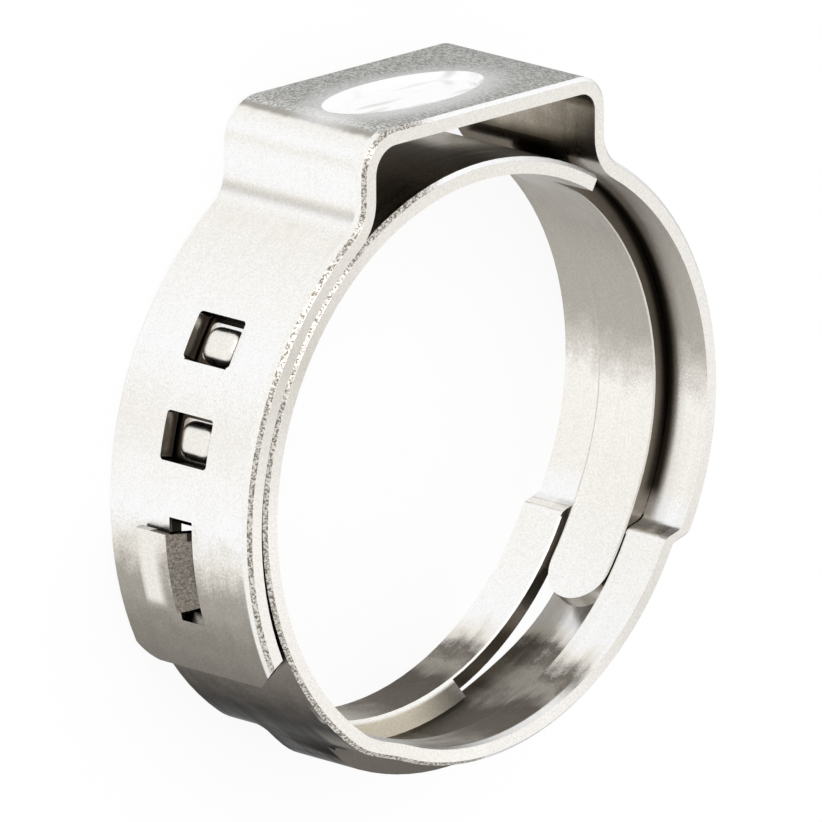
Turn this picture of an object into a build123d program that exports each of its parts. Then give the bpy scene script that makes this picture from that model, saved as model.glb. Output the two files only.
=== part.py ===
from build123d import *
from math import cos, radians, sin, sqrt
import os

# Ear hose clamp: one strip of stainless steel that closes on itself without rivets or screws.
# The clamp lies on the edge of its band: +Z is the axis of the hose, +Y points from the hose to the ear.
# The origin is on the hose axis, in the plane that the clamp lies on.
# A bearing is an angle in degrees about the hose axis, clockwise from the middle of the ear.
# A radius of a layer is that of its face that looks at the hose.

# strip
band_width = 7.0
band_thickness = 0.6
edge_break = 0.14

# ring of open clamp: the side strips lie on this circle, and the other layers stand off it by their gaps
hose_radius = 10.37

# inner layer, from the channel up the left side and under the ear
bore_gap = 0.16
bore_sag = 0.17
shoulder_bearing = 31.0

# ear
ear_width = 11.1
ear_headroom = 1.54
ear_left_corner = 1.0
ear_right_corner = 0.7
ear_foot_bend = 1.95

# outer layer: up the right side, over the ear and down the left side
right_end_bearing = 113.5
right_end_gap = 0.66
right_side_bearing = 75.0
right_side_gap = 1.09
right_foot_bearing = 36.0
right_foot_gap = 0.83
left_foot_bearing = -40.0
left_foot_gap = 0.06
left_side_bearing = -80.0
left_side_gap = 0.15
left_end_bearing = -121.5
left_end_gap = 0.3
end_slant = 1.0

# tongue on the inner end of the strip
tongue_clearance = 0.03
tongue_far_clearance = 0.35
tongue_near_clearance = 0.05
tongue_tip_bearing = 134.0
tongue_tip_gap = 0.02
tongue_join_turn = 11.0
tongue_leave_turn = 5.0
tongue_root_turn = 1.0
tongue_tip_round = 1.39

# channel in which the tongue slides: two side strips and a floor that is pressed outwards
side_strip_width = 1.9
slit_width = 0.05
slit_end_bearing = 160.0
joggle_end_bearing = 118.2
floor_rise = 0.7
floor_bulge = 0.55
floor_bulge_bearing = 130.0
floor_width = 2.3
ramp_steps = 5
wall_run = 0.5
wall_offset = 0.35
ramp_start_bearing = 202.0
ramp_end_bearing = 216.0

# windows in the outer layer and the hooks that stand in them
window_width = 2.25
window_length = 1.78
window_corner = 0.15
window_bearings = [-59.9, -77.8]
window_shift = 0.05
hook_side_clearance = 0.3
hook_end_clearance = 0.2
hook_below_face = 0.2
hook_round = 0.25
hook_pocket_depth = 0.35

# guide flap on the inner layer and the slot that it comes up through
slot_width = 1.1
slot_shift = 0.1
slot_from_bearing = -91.6
slot_to_bearing = -110.6
flap_end_clearance = 2.4
flap_edge_clearance = 0.07
flap_thickness = 0.3
flap_slope = 0.9
flap_reach = 1.25
flap_seat_gap = 0.03
flap_hinge_lap = 0.3
flap_root_low = 0.2
flap_root_high = 0.51
flap_blank_length = 2.55

# recess pressed into the top of the ear
recess_length = 7.4
recess_width = 3.5
recess_depth = 0.25
recess_shift = -0.9
recess_rise = 0.3

# how far a cut runs past what it cuts, in degrees, and how close two lengths count as equal
cut_overrun = 5.0
tolerance = 0.001

band_middle = band_width / 2
bore_radius = hose_radius + bore_gap
floor_radius = hose_radius + floor_rise
window_level = band_middle + window_shift
slot_low = band_middle + slot_shift - slot_width / 2
slot_high = slot_low + slot_width
opening_high = slot_high - flap_hinge_lap
opening_low = opening_high - flap_blank_length
hose_axis = Vector(0, 0, 0)
bore_centre = Vector(0, -bore_sag, 0)


def polar(radius, bearing, z=0.0):
    a = radians(bearing)
    return Vector(radius * sin(a), radius * cos(a), z)


def clockwise(bearing):
    a = radians(bearing)
    return Vector(cos(a), -sin(a), 0)


def radial_plane(bearing, centre=hose_axis):
    """Plane through an axis of the ring: x runs outwards, y runs up the axis."""
    return Plane(origin=centre, x_dir=polar(1, bearing), z_dir=clockwise(bearing))


def radius_on_circle(centre, radius, bearing):
    """Distance from the hose axis to a circle about another centre, at a bearing."""
    outwards = polar(1, bearing)
    along = centre.dot(outwards)
    across = centre.dot(Vector(outwards.Y, -outwards.X, 0))
    return along + sqrt(radius**2 - across**2)


def arc_about(centre, start, end):
    """Arc of less than half a turn about a centre."""
    half_way = ((start - centre) + (end - centre)).normalized()
    return ThreePointArc(start, centre + half_way * (start - centre).length, end)


def bore_face(bearing, depth=0.0):
    """Radius of the inner layer at a bearing, at a depth into the metal."""
    return radius_on_circle(bore_centre, bore_radius + depth, bearing)


def break_corners(outline, inner):
    """Breaks the two corners of a cross-section that lie on the outer face of the strip."""
    for height in (0, band_width):
        corner = outline.vertices().sort_by_distance((inner + band_thickness, height))[0]
        outline = chamfer(corner, edge_break)
    return outline


def box_outline(inner, outer, low, high):
    return Pos((inner + outer) / 2, (low + high) / 2) * Rectangle(outer - inner, high - low)


def break_edges(solid, middle_radius):
    """Breaks the long edges of the outer face of an extruded stretch of strip."""
    edges = []
    for edge in solid.edges():
        middle = edge @ 0.5
        at_band_edge = abs(middle.Z - band_middle) > band_middle - tolerance
        long = edge.length > band_thickness + edge_break
        if at_band_edge and long and Vector(middle.X, middle.Y, 0).length > middle_radius:
            edges.append(edge)
    return chamfer(edges, edge_break)


def inner_layer():
    """Full-width stretch that lines the left side of the bore and bridges the gap under the ear."""
    start, end = ramp_end_bearing - 360, shoulder_bearing
    inner_start, outer_start = (bore_centre + polar(bore_radius + d, start) for d in (0, band_thickness))
    inner_end, outer_end = (bore_centre + polar(bore_radius + d, end) for d in (0, band_thickness))
    inner_top, outer_top = (
        bore_centre + polar(bore_radius + d, (start + end) / 2) for d in (0, band_thickness)
    )
    outline = Face(
        Wire(
            [
                ThreePointArc(inner_start, inner_top, inner_end),
                Line(inner_end, outer_end),
                ThreePointArc(outer_end, outer_top, outer_start),
                Line(outer_start, inner_start),
            ]
        )
    )
    return break_edges(extrude(outline, band_width, dir=(0, 0, 1)), bore_radius + band_thickness / 2)


# circles that the outer layer follows on the two sides of the ring
right_circle = ThreePointArc(
    polar(hose_radius + right_end_gap, right_end_bearing),
    polar(hose_radius + right_side_gap, right_side_bearing),
    polar(hose_radius + right_foot_gap, right_foot_bearing),
)
left_circle = ThreePointArc(
    polar(bore_face(left_foot_bearing, band_thickness) + left_foot_gap, left_foot_bearing),
    polar(bore_face(left_side_bearing, band_thickness) + left_side_gap, left_side_bearing),
    polar(bore_face(left_end_bearing, band_thickness) + left_end_gap, left_end_bearing),
)
right_centre = right_circle.arc_center
left_centre = left_circle.arc_center


def left_face(bearing, depth=0.0):
    """Radius of the outer layer on the left side at a bearing, at a depth into the metal."""
    return radius_on_circle(left_centre, left_circle.radius + depth, bearing)


right_end_plane = Plane(
    origin=right_circle @ 0,
    x_dir=((right_circle @ 0) - right_centre).normalized(),
    z_dir=((right_circle @ 0) - right_centre).normalized().cross(Vector(0, 0, 1)),
)


def foot(centre, radius, side):
    """Bend where the ring turns up into a leg of the ear: its centre and its two ends."""
    x = side * (ear_width / 2 + ear_foot_bend)
    y = centre.Y + sqrt((radius + ear_foot_bend) ** 2 - (x - centre.X) ** 2)
    bend = Vector(x, y, 0)
    on_ring = centre + (bend - centre) * (radius / (radius + ear_foot_bend))
    on_leg = Vector(side * ear_width / 2, y, 0)
    return bend, on_ring, on_leg


ear_underside = bore_radius - bore_sag + band_thickness + ear_headroom


def outer_layer():
    """Full-width stretch from the right joggle over the ear to the outer end, without its openings."""
    right_bend, right_ring, right_leg = foot(right_centre, right_circle.radius, 1)
    left_bend, left_ring, left_leg = foot(left_centre, left_circle.radius, -1)
    half = ear_width / 2
    right_turn = Vector(half - ear_right_corner, ear_underside - ear_right_corner, 0)
    left_turn = Vector(-half + ear_left_corner, ear_underside - ear_left_corner, 0)
    right_leg_top = right_turn + Vector(ear_right_corner, 0, 0)
    right_top = right_turn + Vector(0, ear_right_corner, 0)
    left_top = left_turn + Vector(0, ear_left_corner, 0)
    left_leg_top = left_turn - Vector(ear_left_corner, 0, 0)
    course = Wire(
        [
            arc_about(right_centre, right_circle @ 0, right_ring),
            arc_about(right_bend, right_ring, right_leg),
            Line(right_leg, right_leg_top),
            arc_about(right_turn, right_leg_top, right_top),
            Line(right_top, left_top),
            arc_about(left_turn, left_top, left_leg_top),
            Line(left_leg_top, left_leg),
            arc_about(left_bend, left_leg, left_ring),
            arc_about(left_centre, left_ring, left_circle @ 1),
        ]
    )
    outline = break_corners(box_outline(0, band_thickness, 0, band_width), 0)
    return sweep(right_end_plane * outline, path=course)


def cut_block(bearing, radius, width, height, level, depth, corner=0.0):
    """Block across the strip at a bearing, centred at a level, from a radius outwards."""
    shape = RectangleRounded(width, height, corner) if corner else Rectangle(width, height)
    across = Plane(
        origin=polar(radius, bearing, level), x_dir=clockwise(bearing) * -1, z_dir=polar(1, bearing)
    )
    return extrude(across * shape, depth)


def ring_block(bearing_from, bearing_to, outline):
    """Outline in radius and height, turned about the hose axis from one bearing to another."""
    return revolve(
        radial_plane(bearing_to) * outline, Axis.Z, revolution_arc=bearing_to - bearing_from
    )


def end_corner():
    """Wedge that slants the high corner of the outer end."""
    across = Plane(
        origin=polar(left_face(left_end_bearing), left_end_bearing),
        x_dir=clockwise(left_end_bearing),
        z_dir=polar(1, left_end_bearing) * -1,
    )
    past = band_width + end_slant
    low = band_width - 2 * end_slant
    wedge = Polygon((2 * end_slant, past), (-end_slant, past), (-end_slant, low), align=None)
    return extrude(across * wedge, 2 * band_thickness, both=True)


# channel: side strips and floor leave the outer layer at the joggle
path_in = (right_circle % 0) * -1
joggle_in = right_circle @ 0
joggle_out = right_circle @ 0 + right_end_plane.x_dir * band_thickness


def joggle():
    """Step that takes the two edges of the strip in onto the hose."""
    t = band_thickness
    way = clockwise(joggle_end_bearing)
    inner = polar(hose_radius, joggle_end_bearing)
    outer = polar(hose_radius + t, joggle_end_bearing)
    outline = Face(
        Wire(
            [
                Spline(joggle_in, inner, tangents=[path_in, way]),
                Line(inner, outer),
                Spline(outer, joggle_out, tangents=[way * -1, path_in * -1]),
                Line(joggle_out, joggle_in),
            ]
        )
    )
    middle_radius = hose_radius + (right_end_gap + t) / 2
    step = break_edges(extrude(outline, band_width, dir=(0, 0, 1)), middle_radius)
    start = right_end_bearing - cut_overrun
    end = joggle_end_bearing + cut_overrun
    return step - between_strips(start, end, hose_radius - t)


def between_strips(start, end, inner):
    """Room between the two side strips, from a radius outwards."""
    outermost = floor_radius + 3 * band_thickness
    room = box_outline(inner, outermost, side_strip_width, band_width - side_strip_width)
    return ring_block(start, end, room)


def pressed_channel():
    """Side strips on the hose and, past the slits, the walls and floor that join them."""
    channel = ring_block(joggle_end_bearing, ramp_start_bearing, hat_outline(hose_radius, floor_radius))
    start = joggle_end_bearing - cut_overrun
    channel -= between_strips(start, slit_end_bearing, hose_radius - band_thickness)
    above = hose_radius + band_thickness
    wall = box_outline(above, floor_radius + 3 * band_thickness, wall_run, band_width - wall_run)
    return channel - ring_block(start, slit_end_bearing, wall) + ramp()


def channel_floor():
    """Middle of the strip, pressed outwards beside the slits."""
    top = floor_radius + floor_bulge
    t = band_thickness
    peak_in = polar(top, floor_bulge_bearing)
    peak_out = polar(top + t, floor_bulge_bearing)
    end_in = polar(floor_radius, slit_end_bearing)
    end_out = polar(floor_radius + t, slit_end_bearing)
    at_peak = clockwise(floor_bulge_bearing)
    at_end = clockwise(slit_end_bearing)
    outline = Face(
        Wire(
            [
                Spline(joggle_in, peak_in, end_in, tangents=[path_in, at_peak, at_end]),
                Line(end_in, end_out),
                Spline(end_out, peak_out, joggle_out, tangents=[at_end * -1, at_peak * -1, path_in * -1]),
                Line(joggle_out, joggle_in),
            ]
        )
    )
    low = side_strip_width + slit_width
    return Pos(0, 0, low) * extrude(outline, band_width - 2 * low, dir=(0, 0, 1))


def hat_outline(flange, floor):
    """Cross-section of the pressed channel: two flanges, two slanted walls and the floor."""
    t = band_thickness
    half = floor_width / 2
    m = band_middle
    line = [
        (flange, 0),
        (flange, m - half - wall_run),
        (floor, m - half),
        (floor, m + half),
        (flange, m + half + wall_run),
        (flange, band_width),
        (flange + t, band_width),
        (flange + t, m + half + wall_run + wall_offset),
        (floor + t, m + half + wall_offset),
        (floor + t, m - half - wall_offset),
        (flange + t, m - half - wall_run - wall_offset),
        (flange + t, 0),
    ]
    return break_corners(make_face(Polyline(*line, close=True)), flange)


def ramp():
    """Channel that flattens out into the inner layer."""
    sections = []
    for i in range(ramp_steps):
        share = i / (ramp_steps - 1)
        blend = (1 - cos(radians(180 * share))) / 2
        bearing = ramp_start_bearing + share * (ramp_end_bearing - ramp_start_bearing)
        flange = hose_radius + blend * (bore_radius - hose_radius)
        floor = floor_radius + blend * (bore_radius - floor_radius)
        sections.append(radial_plane(bearing, bore_centre * blend) * hat_outline(flange, floor))
    return loft(sections)


def tongue():
    """Narrow inner end of the strip, which slides in the channel when the ear is closed."""
    t = band_thickness
    gap = t + tongue_clearance
    inner_radius = right_circle.radius - gap
    leave = shoulder_bearing
    join = shoulder_bearing + tongue_join_turn
    root = leave - tongue_root_turn
    root_in = polar(bore_face(root), root)
    root_out = polar(bore_face(root, t), root)
    root_way = clockwise(root)
    join_in = polar(radius_on_circle(right_centre, inner_radius, join), join)
    turn = right_end_bearing - tongue_leave_turn
    turn_in = polar(radius_on_circle(right_centre, inner_radius, turn), turn)
    run = arc_about(right_centre, join_in, turn_in)
    join_out = join_in + (join_in - right_centre).normalized() * t
    turn_out = turn_in + (turn_in - right_centre).normalized() * t
    tip_in = polar(hose_radius + tongue_tip_gap, tongue_tip_bearing)
    tip_out = polar(hose_radius + tongue_tip_gap + t, tongue_tip_bearing)
    tip_way = clockwise(tongue_tip_bearing)
    outline = Face(
        Wire(
            [
                Spline(root_in, join_in, tangents=[root_way, run % 0]),
                run,
                Spline(turn_in, tip_in, tangents=[run % 1, tip_way]),
                Line(tip_in, tip_out),
                Spline(tip_out, turn_out, tangents=[tip_way * -1, (run % 1) * -1]),
                arc_about(right_centre, turn_out, join_out),
                Spline(join_out, root_out, tangents=[(run % 0) * -1, root_way * -1]),
                Line(root_out, root_in),
            ]
        )
    )
    low = side_strip_width + tongue_far_clearance
    width = band_width - side_strip_width - tongue_near_clearance - low
    strip = Pos(0, 0, low) * extrude(outline, width, dir=(0, 0, 1))
    tip_corner = (tip_in + tip_out) * 0.5 + Vector(0, 0, low)
    corner = strip.edges().filter_by(GeomType.LINE).sort_by_distance(tip_corner)[0]
    return fillet(corner, tongue_tip_round)


def hook(bearing):
    """Nose that is pressed out of the inner layer into a window of the outer layer."""
    bottom = bore_face(bearing) + band_thickness / 2
    top = left_face(bearing, band_thickness) - hook_below_face
    width = window_length - 2 * hook_end_clearance
    height = window_width - 2 * hook_side_clearance
    nose = cut_block(bearing, bottom, width, height, window_level, top - bottom)
    rim = [edge for edge in nose.edges() if edge.center().dot(polar(1, bearing)) > bottom + tolerance]
    return fillet(rim, hook_round)


def hook_pocket(bearing):
    """Dent behind a hook."""
    start = bore_face(bearing) - band_thickness
    width = window_length - 2 * hook_end_clearance - band_thickness
    height = window_width - 2 * hook_side_clearance - band_thickness
    depth = band_thickness + hook_pocket_depth
    return cut_block(bearing, start, width, height, window_level, depth, hook_round)


def flap():
    """Flap that comes up out of the inner layer through the slot and is bent over the outer layer."""
    t = flap_thickness
    start = slot_to_bearing + flap_end_clearance
    end = slot_from_bearing - flap_end_clearance
    seat = max(left_face(start, band_thickness), left_face(end, band_thickness)) + flap_seat_gap
    low = bore_face(end) + flap_root_low
    high = bore_face(end) + flap_root_high
    bend = slot_low + flap_edge_clearance
    free = slot_low - flap_reach
    root = slot_high + band_thickness
    steep = flap_slope
    across = t * sqrt(1 + steep**2)
    outline = make_face(
        Polyline(
            (seat, free),
            (seat, bend),
            (low, bend + (seat - low) * steep),
            (low, root),
            (high, root),
            (high, bend + (seat - high) * steep + across),
            (seat + t, bend - t * steep + across),
            (seat + t, free),
            close=True,
        )
    )
    return ring_block(start, end, outline)


def recess():
    """Shallow oval with slanted sides, pressed into the top of the ear."""
    top = ear_underside + band_thickness
    level = band_middle + recess_rise
    mouth = Plane(origin=(recess_shift, top, level), x_dir=(1, 0, 0), z_dir=(0, -1, 0))
    half_length = recess_length / 2
    half_width = recess_width / 2
    bottom = mouth.offset(recess_depth)
    bottom_oval = Ellipse(half_length - recess_depth, half_width - recess_depth)
    return loft([mouth * Ellipse(half_length, half_width), bottom * bottom_oval])


outer = outer_layer() - end_corner()
for window_bearing in window_bearings:
    start = left_face(window_bearing) - band_thickness / 2
    outer -= cut_block(
        window_bearing, start, window_length, window_width, window_level, 2 * band_thickness, window_corner
    )
slot_middle = (slot_from_bearing + slot_to_bearing) / 2
slot_inner = left_face(slot_middle) - band_thickness / 2
outer -= ring_block(
    slot_to_bearing,
    slot_from_bearing,
    box_outline(slot_inner, slot_inner + 2 * band_thickness, slot_low, slot_high),
)
outer -= recess()

inner = inner_layer()
for window_bearing in window_bearings:
    inner += hook(window_bearing)
    inner -= hook_pocket(window_bearing)
opening_face = bore_face(slot_middle)
inner -= ring_block(
    slot_to_bearing + flap_end_clearance,
    slot_from_bearing - flap_end_clearance,
    box_outline(
        opening_face - band_thickness / 2, opening_face + 1.5 * band_thickness, opening_low, opening_high
    ),
)
inner += flap()
inner += tongue()

channel = pressed_channel()
channel += joggle()
channel += channel_floor()

clamp_band = inner + channel + outer
clamp_band.label = "clamp_band"
os.makedirs("parts", exist_ok=True)
export_step(clamp_band, "parts/clamp_band.step")
print("solids", len(clamp_band.solids()), "valid", clamp_band.is_valid)
print("box", clamp_band.bounding_box())
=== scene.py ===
# %% [markdown]
# # An ear hose clamp, dressed for its picture
#
# The object is one strip of stainless steel, 7 mm wide and 0.6 mm thick. It is rolled up into a ring that closes on
# itself, with a raised ear that pincers squeeze when the clamp is fitted to a hose.
#
# The shapes come from the CAD model, which this script loads as its frame. The script then finishes a few corners
# of the strip, gives the steel its surface, stands a floor and a lamp round it, and places a camera.

# %% Load the frame
import bpy
import bmesh
from math import cos, radians, sin
from mathutils import Matrix, Vector


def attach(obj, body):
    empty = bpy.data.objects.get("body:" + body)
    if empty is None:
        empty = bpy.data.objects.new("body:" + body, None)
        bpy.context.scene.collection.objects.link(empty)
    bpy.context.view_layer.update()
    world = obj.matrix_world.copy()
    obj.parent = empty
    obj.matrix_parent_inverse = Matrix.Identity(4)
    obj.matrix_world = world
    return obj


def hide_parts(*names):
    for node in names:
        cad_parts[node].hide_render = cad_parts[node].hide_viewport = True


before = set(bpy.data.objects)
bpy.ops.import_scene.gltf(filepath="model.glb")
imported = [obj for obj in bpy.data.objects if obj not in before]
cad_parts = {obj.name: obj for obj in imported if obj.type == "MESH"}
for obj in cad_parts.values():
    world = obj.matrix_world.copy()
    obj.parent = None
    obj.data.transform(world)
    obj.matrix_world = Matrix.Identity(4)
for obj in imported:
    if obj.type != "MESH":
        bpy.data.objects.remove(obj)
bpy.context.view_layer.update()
mm = 0.001
print("nodes:", sorted(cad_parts))

# %% [markdown]
# ## The camera
# The picture shows almost no perspective: edges that are parallel on the clamp stay parallel in it. That means a
# long lens far away. The camera's turn was worked out from the clamp's own edges, with the strip's width as the
# measure. A camera could be aimed with a tracking constraint, but its roll would then have to be guessed, so three
# unit vectors say which way the picture's right, its top and the way back to the camera point.

# %% Camera
picture_right = Vector((0.69607, -0.00100, 0.71797))
picture_up = Vector((0.19606, 0.96226, -0.18873))
towards_camera = Vector((-0.69069, 0.27214, 0.67000))
camera_place = Vector((-550.80, 218.17, 537.61)) * mm

camera_data = bpy.data.cameras.new("camera")
camera_data.sensor_width = 36.0
camera_data.lens = 986.03
camera_data.clip_start = 0.05
camera_data.clip_end = 20.0
camera = bpy.data.objects.new("camera", camera_data)
camera_turn = Matrix((picture_right, picture_up, towards_camera)).transposed().to_4x4()
camera.matrix_world = Matrix.Translation(camera_place) @ camera_turn
bpy.context.scene.collection.objects.link(camera)
bpy.context.scene.camera = camera
print("camera stands", round(camera_place.length, 3), "m away")

# %% [markdown]
# ## Places on the ring
# Everything on a ring is easiest to place by a bearing: the angle about the hose axis, clockwise from the middle of
# the ear, in degrees. A bearing and a radius then give a point, and a bearing alone gives the way along the strip.
# Plain coordinates would do as well, but nobody could read from them where on the ring a thing sits.

# %% Bearings
along_axis = Vector((0, 0, 1))


def outwards(bearing):
    return Vector((sin(radians(bearing)), cos(radians(bearing)), 0))


def clockwise(bearing):
    return Vector((cos(radians(bearing)), -sin(radians(bearing)), 0))


def spot(radius, bearing, height):
    """A point in metres from a radius and a height in mm and a bearing in degrees."""
    return (outwards(bearing) * radius + along_axis * height) * mm


print("top of the ear is near", [round(c, 4) for c in spot(13.1, 0, 3.5)])

# %% [markdown]
# ## The strip as one clean mesh
# A CAD node arrives as loose triangles, each with its own corners. A copy of it is merged first, so that its faces
# share their corners. Then it can be cut and smoothed like any other mesh. The copy stands for the node in the
# picture, and the node itself stays where it is for the physics.

# %% Merged copy
merge_within = 0.0005 * mm


def merged_copy(node, name):
    piece = bpy.data.objects.new(name, node.data.copy())
    bpy.context.scene.collection.objects.link(piece)
    mesh = bmesh.new()
    mesh.from_mesh(piece.data)
    bmesh.ops.remove_doubles(mesh, verts=mesh.verts, dist=merge_within)
    mesh.to_mesh(piece.data)
    mesh.free()
    if "custom_normal" in piece.data.attributes:
        piece.data.attributes.remove(piece.data.attributes["custom_normal"])
    return piece


strip = merged_copy(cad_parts["clamp_band"], "clamp_strip")
print("strip:", len(strip.data.vertices), "corners")

# %% [markdown]
# ## A cutter for rounded corners
# On the real clamp the punch that cuts the strip leaves rounded corners. A bevel would have to pick edges out of
# thousands of triangles. A cutter is surer: a small block whose hollow side is a quarter turn, set against the
# sharp corner and taken away from it. The quarter turn is spun from one point, three more points close the outline
# outside the sheet, and an extrusion gives the block its depth.

# %% Corner cutter
cut_margin = 0.03
arc_steps = 12


def add_to(target, shape, name):
    """Moves a finished bmesh into another one."""
    carrier = bpy.data.meshes.new(name)
    shape.to_mesh(carrier)
    shape.free()
    target.from_mesh(carrier)
    bpy.data.meshes.remove(carrier)


def corner_cutter(target, corner, along, across, through, radius, depth):
    """Adds a block that rounds a sheet's corner. Along and across point from the corner into the sheet."""
    shape = bmesh.new()
    centre = corner + (along + across) * radius
    start = shape.verts.new(corner + along * radius)
    axis = across.cross(along)
    bmesh.ops.spin(
        shape, geom=[start], cent=centre, axis=axis, angle=radians(90), steps=arc_steps, use_merge=False
    )
    outline = list(shape.verts)
    margin = cut_margin * mm
    for far, near in ((-margin, radius), (-margin, -margin), (radius, -margin)):
        outline.append(shape.verts.new(corner + along * far + across * near))
    face = shape.faces.new(outline)
    for edge in [edge for edge in shape.edges if not edge.link_faces]:
        shape.edges.remove(edge)
    bmesh.ops.translate(shape, verts=shape.verts, vec=through * (-depth / 2))
    grown = bmesh.ops.extrude_face_region(shape, geom=[face])
    far_side = [item for item in grown["geom"] if isinstance(item, bmesh.types.BMVert)]
    bmesh.ops.translate(shape, verts=far_side, vec=through * depth)
    bmesh.ops.recalc_face_normals(shape, faces=shape.faces)
    add_to(target, shape, "corner_block")


cutters = bmesh.new()
print("a quarter turn in", arc_steps, "steps")

# %% [markdown]
# ## Two rounded corners
# The outer end of the strip has a rounded corner at the band's low side, and the tongue's tip has one at its high
# side. The solid already has the tip's other corner. Each cutter is placed by a bearing and a radius in the middle
# of the sheet, and it is deep enough to go through it.

# %% Rounded corners
outer_end_bearing = -121.5
outer_end_middle = 11.9
outer_end_round = 1.25
outer_end_depth = 1.2
corner_cutter(
    cutters,
    corner=spot(outer_end_middle, outer_end_bearing, 0),
    along=clockwise(outer_end_bearing),
    across=along_axis,
    through=outwards(outer_end_bearing),
    radius=outer_end_round * mm,
    depth=outer_end_depth * mm,
)

tongue_tip_bearing = 134.0
tongue_tip_middle = 10.69
tongue_high_side = 5.05
tongue_tip_round = 1.39
tongue_tip_depth = 0.8
corner_cutter(
    cutters,
    corner=spot(tongue_tip_middle, tongue_tip_bearing, tongue_high_side),
    along=-clockwise(tongue_tip_bearing),
    across=-along_axis,
    through=outwards(tongue_tip_bearing),
    radius=tongue_tip_round * mm,
    depth=tongue_tip_depth * mm,
)
print("cutters:", len(cutters.faces), "faces")

# %% [markdown]
# ## Hooks with round noses
# Two hooks are pressed out of the inner layer into the windows of the outer one. A blunt punch makes them, so they
# have soft noses and not square ones. A dome from a sphere would have a steep foot that mirrors the dark window and
# looks like an eye. So the square tops are cut away, and a well rounded block takes the place of each.

# %% Hooks
hook_bearings = [-60.5, -78.1]
hook_level = 3.67
hook_foot = 11.16
hook_seat = 10.8
hook_top = 11.62
hook_length = 1.42
hook_width = 1.70
hook_round = 0.52
round_steps = 8
block_half_length = 0.83
block_half_width = 1.02
block_height = 1.24
block_shift = 0.13


def placed(bearing, radius, height):
    """Turns and moves a shape so that its x runs along the strip, its y across it and its z outwards."""
    axes = Matrix((clockwise(bearing), -along_axis, outwards(bearing))).transposed().to_4x4()
    return Matrix.Translation(spot(radius, bearing, height)) @ axes


noses = bmesh.new()
for bearing in hook_bearings:
    size = Matrix.Diagonal((2 * block_half_length * mm, 2 * block_half_width * mm, block_height * mm, 1))
    place = placed(bearing, hook_foot + block_height / 2, hook_level - block_shift)
    bmesh.ops.create_cube(cutters, size=1, matrix=place @ size)

    shape = bmesh.new()
    size = Matrix.Diagonal((hook_length * mm, hook_width * mm, (hook_top - hook_seat) * mm, 1))
    bmesh.ops.create_cube(shape, size=1, matrix=size)
    upper = [edge for edge in shape.edges if max(vert.co.z for vert in edge.verts) > 0]
    bmesh.ops.bevel(
        shape, geom=upper, offset=hook_round * mm, affect="EDGES", segments=round_steps, profile=0.5, material=-1,
        clamp_overlap=True,
    )
    place = placed(bearing, (hook_seat + hook_top) / 2, hook_level)
    bmesh.ops.transform(shape, matrix=place, verts=shape.verts)
    bmesh.ops.recalc_face_normals(shape, faces=shape.faces)
    add_to(noses, shape, "nose")
print("noses:", len(noses.faces), "faces")

# %% [markdown]
# ## Cut and join
# A Boolean modifier takes the cutters away and another one adds the noses. Both are worked out at once and the
# tools are thrown away, so that the strip is again one plain mesh. The modifiers could stay live, but a plain mesh
# can be checked for gaps.

# %% Boolean steps
def tool_object(mesh, name):
    data = bpy.data.meshes.new(name)
    mesh.to_mesh(data)
    mesh.free()
    tool = bpy.data.objects.new(name, data)
    bpy.context.scene.collection.objects.link(tool)
    return tool


steps = [("DIFFERENCE", tool_object(cutters, "cutters")), ("UNION", tool_object(noses, "noses"))]
for operation, tool in steps:
    modifier = strip.modifiers.new(operation.lower(), "BOOLEAN")
    modifier.operation = operation
    modifier.solver = "EXACT"
    modifier.object = tool
worked_out = strip.evaluated_get(bpy.context.evaluated_depsgraph_get())
finished = bpy.data.meshes.new_from_object(worked_out)
strip.modifiers.clear()
strip.data = finished
for operation, tool in steps:
    bpy.data.objects.remove(tool)
print("strip:", len(strip.data.polygons), "faces after the cuts")

# %% [markdown]
# ## Sharp and smooth edges
# A stamped strip has crisp sheared edges and soft bends. Edges that turn by more than 28 degrees stay sharp, and
# everything flatter is shaded smooth. The strip then rides on the clamp's one body, stands for its node, and takes
# the finish slot of the steel.

# %% Finished strip
sharp_from = radians(28)

mesh = bmesh.new()
mesh.from_mesh(strip.data)
bmesh.ops.remove_doubles(mesh, verts=mesh.verts, dist=merge_within)
for edge in mesh.edges:
    edge.smooth = len(edge.link_faces) == 2 and edge.calc_face_angle(0) < sharp_from
for face in mesh.faces:
    face.smooth = True
open_edges = [edge for edge in mesh.edges if len(edge.link_faces) != 2]
print("strip:", len(mesh.faces), "faces, open edges:", len(open_edges))
mesh.to_mesh(strip.data)
mesh.free()

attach(strip, "root")
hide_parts("clamp_band")

# %% [markdown]
# ## Colours and nodes
# Colours are written as web colours, because that is how a paint card or a photo editor gives them. Blender works
# in linear light, so one function turns them over. A second small function adds a shader node with its inputs and
# settings, which keeps a long material readable.

# %% Colours and nodes
def linear(web_colour):
    """A web colour such as "#dcd8d0" as the linear red, green, blue and alpha that Blender works in."""
    channels = [int(web_colour[i : i + 2], 16) / 255 for i in (1, 3, 5)]
    return [c / 12.92 if c <= 0.04045 else ((c + 0.055) / 1.055) ** 2.4 for c in channels] + [1.0]


def add_node(tree, kind, *inputs, **settings):
    """Adds a node. Each input is a number, a colour, a socket, or None for one that stays as it is."""
    node = tree.nodes.new("ShaderNode" + kind)
    for name, value in settings.items():
        if name in node.inputs:
            node.inputs[name].default_value = value
        else:
            setattr(node, name, value)
    for socket, source in zip(node.inputs, inputs):
        if isinstance(source, bpy.types.NodeSocket):
            tree.links.new(source, socket)
        elif source is not None:
            socket.default_value = source
    return node


print("mid grey is", [round(c, 3) for c in linear("#808080")])
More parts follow.
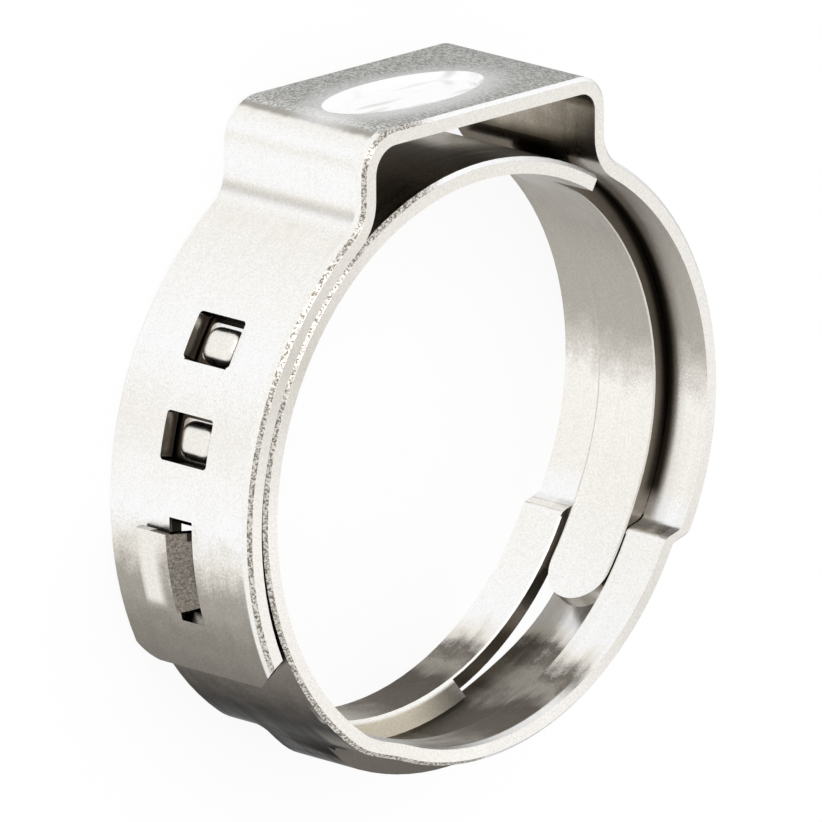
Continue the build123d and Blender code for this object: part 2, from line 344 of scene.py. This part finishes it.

# %% [markdown]
# ## Rolled stainless steel
# The strip is cold-rolled stainless steel. Rollers leave it satin, and a satin rolled sheet has a roughness of
# about 0.3. It is a full metal with the default index. The edge tint keeps the satin steel from turning white where
# it is seen at a glance.
#
# The colour is built up in the cells that follow, and is joined to the shader at the end. Much of it is painted
# light and shade.

# %% Steel
satin = 0.30
edge_tint = 0.5

steel = bpy.data.materials.new("rolled_stainless")
steel.use_nodes = True
steel_tree = steel.node_tree
steel_shader = steel_tree.nodes["Principled BSDF"]
steel_shader.inputs["Metallic"].default_value = 1.0
steel_shader.inputs["Specular Tint"].default_value = (edge_tint, edge_tint, edge_tint, 1.0)
strip.data.materials.clear()
strip.data.materials.append(steel)
print("steel:", steel.name)

# %% [markdown]
# ## Where a point of the steel is
# The colour, with its painted light and shade, changes from place to place, so the material works out a few
# measures for each point: its place in millimetres, its radius and its bearing, and whether its wall looks outwards
# or at the hose. The azimuth is the bearing that the wall faces. All of them belong to the object, so the colour
# stays put when the camera moves.

# %% Measures
surface = add_node(steel_tree, "NewGeometry")
metres = add_node(steel_tree, "TexCoord").outputs["Object"]
place = add_node(steel_tree, "VectorMath", metres, operation="SCALE", Scale=1 / mm).outputs[0]
x, y, z = add_node(steel_tree, "SeparateXYZ", place).outputs
in_plane = add_node(steel_tree, "VectorMath", place, (1, 1, 0), operation="MULTIPLY").outputs[0]
radius = add_node(steel_tree, "VectorMath", in_plane, operation="LENGTH").outputs["Value"]

facing = surface.outputs["Normal"]
facing_x, facing_y = add_node(steel_tree, "SeparateXYZ", facing).outputs[:2]
flat_z = add_node(steel_tree, "SeparateXYZ", surface.outputs["True Normal"]).outputs[2]
away = add_node(steel_tree, "VectorMath", in_plane, facing, operation="DOT_PRODUCT").outputs["Value"]
inward = add_node(steel_tree, "Math", away, 0.0, operation="LESS_THAN").outputs[0]
outward = add_node(steel_tree, "Math", away, 0.0, operation="GREATER_THAN").outputs[0]


def compass(towards_x, towards_y):
    """The bearing of a direction, in degrees."""
    turn = add_node(steel_tree, "Math", towards_x, towards_y, operation="ARCTAN2").outputs[0]
    return add_node(steel_tree, "Math", turn, operation="DEGREES").outputs[0]


bearing = compass(x, y)
azimuth = compass(facing_x, facing_y)
print("measures:", len(steel_tree.nodes), "nodes")

# %% [markdown]
# ## Grain and streaks
# Rolling leaves a grain of about a tenth of a millimetre, and streaks a third of a millimetre wide and several
# long that run along the strip. An image of scratched steel could be wrapped round the ring, but noise in real
# sizes has no seam. The streaks get their length from the bearing, which is stretched against the height. Clouds of
# nearly a millimetre stand for the blotches that handling leaves.

# %% Noises
grain_size = 0.09
streak_width = 0.35
streak_length = 5.0
arc_per_degree = 0.19
clouds_per_mm = 1.2

grain = add_node(steel_tree, "TexNoise", place, Scale=1 / grain_size, Detail=2.0, Roughness=0.65).outputs[0]
stretch = arc_per_degree / streak_length
around = add_node(steel_tree, "Math", bearing, stretch, operation="MULTIPLY").outputs[0]
across = add_node(steel_tree, "Math", z, 1 / streak_width, operation="MULTIPLY").outputs[0]
along_strip = add_node(steel_tree, "CombineXYZ", around, across, inward).outputs[0]
streak = add_node(steel_tree, "TexNoise", along_strip, Scale=1.0, Detail=2.0, Roughness=0.6).outputs[0]
cloud = add_node(steel_tree, "TexNoise", place, Scale=clouds_per_mm, Detail=1.0).outputs[0]
print("grain of", grain_size, "mm, streaks of", streak_width, "by", streak_length, "mm")

# %% [markdown]
# ## Painted light and shade round the ring
# Satin steel is bright where it faces the light and dark where it faces the dim side of the studio, with soft
# steps between. Such a surface could be left to reflections alone, but in soft even light that gives one flat
# grey. So the light, shade and reflections are painted into the steel's colour: its tone follows the way that a
# wall faces round the ring, with one row of tones for walls that look outwards, and one for walls that look at the
# hose. The noises shift the angle a little, so that no border between two tones is a clean line.

# %% Rows of tones
outward_light_and_shade_tones = [
    (-180, "#4a4641"), (-150, "#282523"), (-138, "#2e2b28"), (-126, "#79736c"), (-112, "#918c84"),
    (-102, "#b0aba2"), (-96, "#ece8e0"), (-90, "#ffffff"), (-74, "#f6f3ed"), (-62, "#ffffff"),
    (-36, "#f8f5ef"), (-30, "#b0aca5"), (-12, "#aeaba6"), (0, "#d2cfca"), (90, "#e6e2db"), (150, "#8a857e"),
]
inward_light_and_shade_tones = [
    (-180, "#ccc8c0"), (-150, "#ece8e1"), (-140, "#cdc8c0"), (-127, "#b6b1a9"), (-100, "#b9b4ab"),
    (-93, "#d4cfc7"), (-86, "#fdfaf4"), (-68, "#faf7f0"), (-38, "#ffffff"), (-33, "#f4f0e8"),
    (-28, "#6f6961"), (-23, "#a39e95"), (-18, "#625d56"), (-5, "#767067"), (8, "#d0cbc2"), (18, "#ffffff"),
    (60, "#d6d1c9"), (100, "#ece8e1"),
]


def tone_ramp(angle, tones):
    """Colour by an angle in degrees, from -180 to 180."""
    share = add_node(steel_tree, "MapRange", angle, -180.0, 180.0).outputs[0]
    ramp = add_node(steel_tree, "ValToRGB", share)
    stops = ramp.color_ramp.elements
    while len(stops) < len(tones):
        stops.new(0.5)
    for stop, (degrees, colour) in zip(stops, tones):
        stop.position = (degrees + 180) / 360
        stop.color = linear(colour)
    return ramp.outputs["Color"]


direction = azimuth
for noise, degrees in ((grain, 5.0), (streak, 5.0), (cloud, 8.0)):
    centred = add_node(steel_tree, "Math", noise, 0.5, operation="SUBTRACT").outputs[0]
    direction = add_node(steel_tree, "Math", centred, degrees, direction, operation="MULTIPLY_ADD").outputs[0]
outward_light_and_shade = tone_ramp(direction, outward_light_and_shade_tones)
inward_light_and_shade = tone_ramp(direction, inward_light_and_shade_tones)
print("tones:", len(outward_light_and_shade_tones), "outwards,", len(inward_light_and_shade_tones), "inwards")

# %% [markdown]
# ## Patches
# Some places have a tone of their own: painted shade between two layers, painted highlights, the torn corner of a
# sheared edge. Each is a patch: a colour laid over the one so far, where a product of soft limits is 1. Vertex paint
# could do this too, but limits in millimetres and degrees stay sharp on big faces and can be read and changed.

# %% Patches
far_off = 1000.0
edge_softness = 0.02


def between(value, low, high, soft=edge_softness):
    """1 where a value lies between two limits and 0 outside them, with soft borders."""
    smooth = "SMOOTHSTEP"
    rise = add_node(steel_tree, "MapRange", value, low - soft, low + soft, interpolation_type=smooth)
    fall = add_node(steel_tree, "MapRange", value, high - soft, high + soft, 1.0, 0.0, interpolation_type=smooth)
    return add_node(steel_tree, "Math", rise.outputs[0], fall.outputs[0], operation="MULTIPLY").outputs[0]


def painted(colour, new_colour, *limits):
    """Lays a colour over the one so far, where all the limits are 1."""
    share = limits[0]
    for limit in limits[1:]:
        share = add_node(steel_tree, "Math", share, limit, operation="MULTIPLY").outputs[0]
    if isinstance(new_colour, str):
        new_colour = linear(new_colour)
    return add_node(steel_tree, "MixRGB", share, colour, new_colour).outputs[0]


colour = painted(outward_light_and_shade, inward_light_and_shade, inward)
print("base colour:", len(steel_tree.nodes), "nodes")

# %% [markdown]
# ## The inner layer seen from outside
# The outer face of the inner layer shows only through the windows, through the slot and under the ear. Little light
# gets there, so it is dark, and darkest in the slot. Under the ear's right leg a pale patch lies on it, where light
# falls in from the side. A ray tracer darkens such places by itself, but satin metal takes most of its tone from
# what it mirrors, so the tone is set here.

# %% Inner layer
inner_skin = between(radius, 10.8, 11.16)
colour = painted(colour, "#5b544c", outward, inner_skin, between(bearing, -119.3, 33, 0.3), between(z, -1, 6.84))
colour = painted(
    colour, "#ece6dc", outward, between(radius, 10.8, 11.3), between(bearing, 3, 27, 4), between(z, 0.6, 4.6, 0.8)
)
in_slot = between(bearing, -109.6, -92.4, 0.2)
colour = painted(colour, "#38332e", outward, inner_skin, in_slot, between(z, 1, 6))
print("inner layer:", len(steel_tree.nodes), "nodes so far")

# %% [markdown]
# ## Noses of the hooks
# The noses stand out of the dark windows. They are painted bright: a painted highlight on their round tops.

# %% Noses
nose_spans = [(-63.9, -57.2), (-81.9, -74.6)]
for first, last in nose_spans:
    nose = between(bearing, first, last, 0.3)
    colour = painted(colour, "#f4f1ea", between(radius, 11.08, 11.8), nose, between(z, 2.9, 4.8, 0.2))
print("noses:", len(nose_spans))

# %% [markdown]
# ## Shade between the layers
# Where two layers lie close together the gap is dark. It shows on the left, between the inner and the outer layer,
# at the foot of the ear's right leg, and beside the tongue, which throws its shade on the layer round it.

# %% Shade
layer_gap = between(radius, 11.15, 12.2)
colour = painted(colour, "#1e1a17", inward, layer_gap, between(bearing, -120, -36, 0.5))
right_foot = between(bearing, 26, 37, 2)
colour = painted(colour, "#7a7268", inward, between(radius, 10.96, 11.7), right_foot, between(z, -1, 4.8, 0.3))
beside_tongue = between(bearing, 34, 111, 3)
colour = painted(colour, "#4a443d", inward, between(radius, 11.0, 11.9), beside_tongue, between(z, 4.9, 5.45, 0.22))
print("shade:", len(steel_tree.nodes), "nodes so far")

# %% [markdown]
# ## Painted highlights and a shaded crease
# The rims of the tongue get a painted highlight. The strip steps down onto the hose beside it, and that step is
# painted bright as well: a painted highlight. The crease at the left foot of the ear is a little darker: painted
# shade.

# %% Painted highlights and shade
bore_skin = between(radius, 10.0, 10.9)
high_rim = between(z, 4.95, 5.2)
colour = painted(colour, "#e4dfd7", inward, bore_skin, between(bearing, 36, 132, 6), high_rim)
low_rim = between(z, 2.1, 2.30)
colour = painted(colour, "#d5d0c7", inward, bore_skin, between(bearing, 80, 128, 12), low_rim)

step_top = between(radius, 10.70, 11.7, 0.06)
colour = painted(colour, "#ffffff", inward, step_top, between(bearing, 110, 122, 2.5))
step_foot = between(radius, 10.43, 10.70, 0.05)
colour = painted(colour, "#fbf8f1", inward, step_foot, between(bearing, 112.6, 119.2, 0.5))

left_foot = between(x, -9, -5.9)
colour = painted(colour, "#c8c3ba", outward, left_foot, between(y, 9.98, 10.2, 0.24))
print("rubbed places:", len(steel_tree.nodes), "nodes so far")

# %% [markdown]
# ## The pressed channel
# The channel for the tongue is pressed into the lower part of the ring. Its far wall faces the light: it is painted
# light, with a painted highlight along its top. Its outside gets painted shade, and the near strip outside it is
# painted a little paler. The rim of the strip along the bottom gets a painted highlight on the inside.

# %% Channel
slanted = between(flat_z, 0.35, 0.92)
low_half = between(y, -far_off, -6)
wall_end = between(x, -far_off, 2.2, 1.6)
colour = painted(colour, "#ccc3b1", inward, slanted, between(z, 1.7, 3.4), low_half, wall_end)
line_end = between(x, -far_off, 7.2)
colour = painted(colour, "#fffdf8", inward, slanted, between(z, 1.6, 1.95, 0.05), low_half, line_end)
colour = painted(colour, "#6f6a63", outward, slanted, between(z, 4.4, 6.7), low_half)
near_strip = between(bearing, -158, -141, 4)
colour = painted(colour, "#8b857c", outward, near_strip, between(z, 5.6, 6.84, 0.3), between(radius, 10, 11.4))
colour = painted(colour, "#fffefc", inward, between(y, -far_off, -9.4, 0.5), between(z, 6.62, 7.5, 0.06))
print("channel:", len(steel_tree.nodes), "nodes so far")

# %% [markdown]
# ## The top of the ear
# The top of the ear is painted a cooler grey with a coarse grain: painted shade, speckled by the grain. Round
# the dish it gets a painted highlight, and that glow fades with a ragged border. A painted highlight also runs
# along the near side of the outer layer.

# %% Ear
colour = painted(
    colour, "#fbf9f4", outward, between(radius, 11.25, 16), between(z, 6.6, 6.85, 0.05), between(y, -8, far_off)
)
top = between(y, 12.8, 13.5)
coarse = add_node(steel_tree, "MapRange", grain, 0.32, 0.68).outputs[0]
shaded_speckle = add_node(steel_tree, "MixRGB", coarse, linear("#9a9a96"), linear("#f0efec")).outputs[0]
colour = painted(colour, shaded_speckle, outward, top, between(facing_y, 0.93, 2, 0.03))

glow_middle = (-1.1, 13.0, 4.0)
glow_shape = (1 / 5.0, 0, 1 / 2.6)
from_middle = add_node(steel_tree, "VectorMath", place, glow_middle, operation="SUBTRACT").outputs[0]
oval = add_node(steel_tree, "VectorMath", from_middle, glow_shape, operation="MULTIPLY").outputs[0]
reach = add_node(steel_tree, "VectorMath", oval, operation="LENGTH").outputs["Value"]
ragged = add_node(steel_tree, "Math", grain, 0.3, reach, operation="MULTIPLY_ADD").outputs[0]
glow = add_node(steel_tree, "MapRange", ragged, 0.80, 1.25, 0.85, 0.0, interpolation_type="SMOOTHSTEP").outputs[0]
colour = painted(colour, "#ffffff", outward, top, glow)
print("ear:", len(steel_tree.nodes), "nodes so far")

# %% [markdown]
# ## The guide flap
# The flap is bent up out of the slot. Its slope gets painted shade with a coarse grain, its back a painted
# highlight, and a painted shadow line runs along its free edge.

# %% Flap
painted_shading = add_node(steel_tree, "MixRGB", coarse, linear("#645d55"), linear("#958e85")).outputs[0]
slope = between(flat_z, 0.25, 0.95)
on_flap = between(bearing, -109.4, -92.6, 0.1)
colour = painted(colour, painted_shading, outward, on_flap, slope, between(z, 2.9, 4.4), between(radius, 11, 13))
flap_back = between(bearing, -107, -93.5, 1)
colour = painted(colour, "#f4f1ea", outward, flap_back, between(z, 1.85, 2.75, 0.25), between(radius, 12.1, 13))
free_edge = between(bearing, -106.5, -95.5, 1)
colour = painted(colour, "#3a3530", outward, free_edge, between(z, 1.70, 1.79), between(radius, 11.9, 13))
print("flap:", len(steel_tree.nodes), "nodes so far")

# %% [markdown]
# ## Sheared faces
# Shears cut the strip from a sheet, and they leave its edges pale and matt. The sides of the tongue, the windows
# and the slot are cut too, but they lie in shade, and that shade is painted: darkest beside the tongue and at the
# ends of the slot, lighter at the low side of the windows. At the corner between an edge and the outer face the
# metal is torn: a thin ragged line on the left. A painted highlight runs along that corner on the right.

# %% Sheared faces
edge_tones = [
    (-180, "#fbf8f3"), (-150, "#f3efe9"), (-90, "#f7f4ef"), (-60, "#d6d2ca"), (-30, "#ebe7e1"),
    (45, "#edeae4"), (90, "#f2efea"), (130, "#e2ded8"), (160, "#f6f3ee"),
]
upright = between(flat_z, 0.92, 2.0)
colour = painted(colour, tone_ramp(bearing, edge_tones), upright, between(z, 6.9, 8))
below_edge = between(z, -1, 6.9)
colour = painted(colour, "#7a736a", upright, below_edge)
colour = painted(colour, "#a8a095", upright, between(z, 2.2, 2.6), between(bearing, -90, -50))
tongue_side = between(bearing, 33, 113, 1)
colour = painted(colour, "#3c3731", upright, below_edge, between(radius, 11.17, 12, 0.12), tongue_side)
slot_end = between(bearing, -95.5, -92.3, 0.1)
colour = painted(colour, "#2e2a26", between(radius, 11.1, 11.8), slot_end, between(z, 2.95, 4.2))

torn = add_node(steel_tree, "MapRange", grain, 0.40, 0.58).outputs[0]
ragged_corner = add_node(steel_tree, "MixRGB", torn, linear("#7b746b"), linear("#dcd8d0")).outputs[0]
broken_corner = between(z, 6.84, 6.995, 0.002)
colour = painted(colour, "#ffffff", outward, slanted, broken_corner)
colour = painted(colour, ragged_corner, outward, slanted, broken_corner, between(bearing, -180, -14, 4))
print("sheared faces:", len(steel_tree.nodes), "nodes so far")

# %% [markdown]
# ## Grain over everything
# The grain shades the colour a little, the streaks vary the roughness, and the grain also gives a relief of a few
# thousandths of a millimetre. With all three, light breaks up on the steel as it does on a satin sheet.

# %% Joined to the shader
rough_spread = 0.06
relief_depth = 0.004
darkest_grain = 0.91
brightest_grain = 1.09

shade = add_node(steel_tree, "MapRange", grain, 0.3, 0.7, darkest_grain, brightest_grain).outputs[0]
shaded = add_node(steel_tree, "VectorMath", colour, operation="SCALE")
steel_tree.links.new(shade, shaded.inputs["Scale"])
steel_tree.links.new(shaded.outputs[0], steel_shader.inputs["Base Color"])

rough = add_node(steel_tree, "MapRange", streak, 0.3, 0.7, satin - rough_spread, satin + rough_spread).outputs[0]
steel_tree.links.new(rough, steel_shader.inputs["Roughness"])
relief = add_node(steel_tree, "Bump", Strength=0.25, Distance=relief_depth * mm)
steel_tree.links.new(grain, relief.inputs["Height"])
steel_tree.links.new(relief.outputs[0], steel_shader.inputs["Normal"])
print("steel:", len(steel_tree.nodes), "nodes")

# %% [markdown]
# ## The polished dish
# The dish in the top of the ear is coined with a smooth punch, so it is the one polished place on the clamp. It is
# the same steel with another surface: smoother, without the dark edge tint of the satin sheet, and with faint smears
# along it. Its whiter colour is a painted reflection of the light that the dish mirrors. Its faces are picked by
# their place and get a slot of their own.

# %% Polished steel
polish = 0.22
smears_per_mm = 0.8
smear_stretch = (0.5, 1, 2)


def polished_stainless():
    material = bpy.data.materials.new("polished_stainless")
    material.use_nodes = True
    tree = material.node_tree
    shader = tree.nodes["Principled BSDF"]
    shader.inputs["Metallic"].default_value = 1.0
    shader.inputs["Roughness"].default_value = polish
    metres = add_node(tree, "TexCoord").outputs["Object"]
    place = add_node(tree, "VectorMath", metres, operation="SCALE", Scale=1 / mm).outputs[0]
    stretched = add_node(tree, "VectorMath", place, smear_stretch, operation="MULTIPLY").outputs[0]
    smear = add_node(tree, "TexNoise", stretched, Scale=smears_per_mm, Detail=1.0).outputs[0]
    # The whiter colour is a painted reflection, broken by faint smears.
    tones = add_node(tree, "ValToRGB", smear)
    low, high = tones.color_ramp.elements
    low.position = 0.24
    low.color = linear("#d2d1cd")
    high.position = 0.50
    high.color = linear("#ffffff")
    tree.links.new(tones.outputs["Color"], shader.inputs["Base Color"])
    return material


strip.data.materials.append(polished_stainless())
print("slots:", len(strip.data.materials))

# %% Dish faces
dish_middle = Vector((-0.93, 13.0, 3.5))
dish_reach = Vector((3.6, 0.75, 2.2))
ear_top_level = 13.09
dish_tilt = 0.15

dish_faces = 0
for face in strip.data.polygons:
    offset = face.center / mm - dish_middle
    near_dish = all(abs(step) < reach for step, reach in zip(offset, dish_reach))
    if near_dish and face.center.y < ear_top_level * mm and face.normal.y > dish_tilt:
        face.material_index = 1
        dish_faces += 1
print("dish:", dish_faces, "faces")

# %% [markdown]
# ## Floor
# The picture has a plain white ground. A white sheet under the clamp would turn grey where the world's light falls
# off, so the sheet also shines by itself for the camera and for the metal that mirrors it. A small share is left to
# real light, which keeps the clamp's shadow. A brighter lamp would whiten the floor too, but it would burn out the
# steel.

# %% Floor
floor_size = 2.0
shining_share = 0.90

floor_mesh = bpy.data.meshes.new("floor")
shape = bmesh.new()
bmesh.ops.create_grid(shape, x_segments=1, y_segments=1, size=floor_size)
shape.to_mesh(floor_mesh)
shape.free()
floor = bpy.data.objects.new("floor", floor_mesh)
bpy.context.scene.collection.objects.link(floor)

paper = bpy.data.materials.new("white_paper")
paper.use_nodes = True
paper_tree = paper.node_tree
paper_shader = paper_tree.nodes["Principled BSDF"]
paper_shader.inputs["Base Color"].default_value = linear("#ffffff")
paper_shader.inputs["Roughness"].default_value = 0.9
rays = add_node(paper_tree, "LightPath").outputs
seen = add_node(paper_tree, "Math", rays["Is Camera Ray"], rays["Is Glossy Ray"], operation="MAXIMUM").outputs[0]
seen = add_node(paper_tree, "Math", seen, rays["Is Transmission Ray"], operation="MAXIMUM").outputs[0]
white_share = add_node(paper_tree, "Math", seen, shining_share, operation="MULTIPLY").outputs[0]
white = add_node(paper_tree, "Emission", linear("#ffffff"), 1.0).outputs[0]
blend = add_node(paper_tree, "MixShader", white_share, paper_shader.outputs[0], white).outputs[0]
paper_tree.links.new(blend, paper_tree.nodes["Material Output"].inputs["Surface"])
floor_mesh.materials.append(paper)
print("floor:", len(floor_mesh.polygons), "face")

# %% [markdown]
# ## Light
# A white world gives the even light of a light tent. One soft disk lamp near the camera's left adds a direction, so
# that the grain and the bends catch some light, and a faint shadow falls on the paper. More lamps would only flatten
# the steel.

# %% Light
world = bpy.data.worlds.new("studio")
bpy.context.scene.world = world
world.use_nodes = True
world.node_tree.nodes["Background"].inputs["Color"].default_value = (1, 1, 1, 1)
world.node_tree.nodes["Background"].inputs["Strength"].default_value = 1.0

key_place = Vector((-0.3, 0.45, 0.6))
key_data = bpy.data.lights.new("key", "AREA")
key_data.shape = "DISK"
key_data.size = 0.4
key_data.energy = 0.8
key = bpy.data.objects.new("key", key_data)
key.location = key_place
key.rotation_mode = "QUATERNION"
key.rotation_quaternion = (-key_place).to_track_quat("-Z", "Y")
bpy.context.scene.collection.objects.link(key)
bpy.context.scene.view_settings.view_transform = "Standard"
print("key lamp:", key_data.energy, "W")
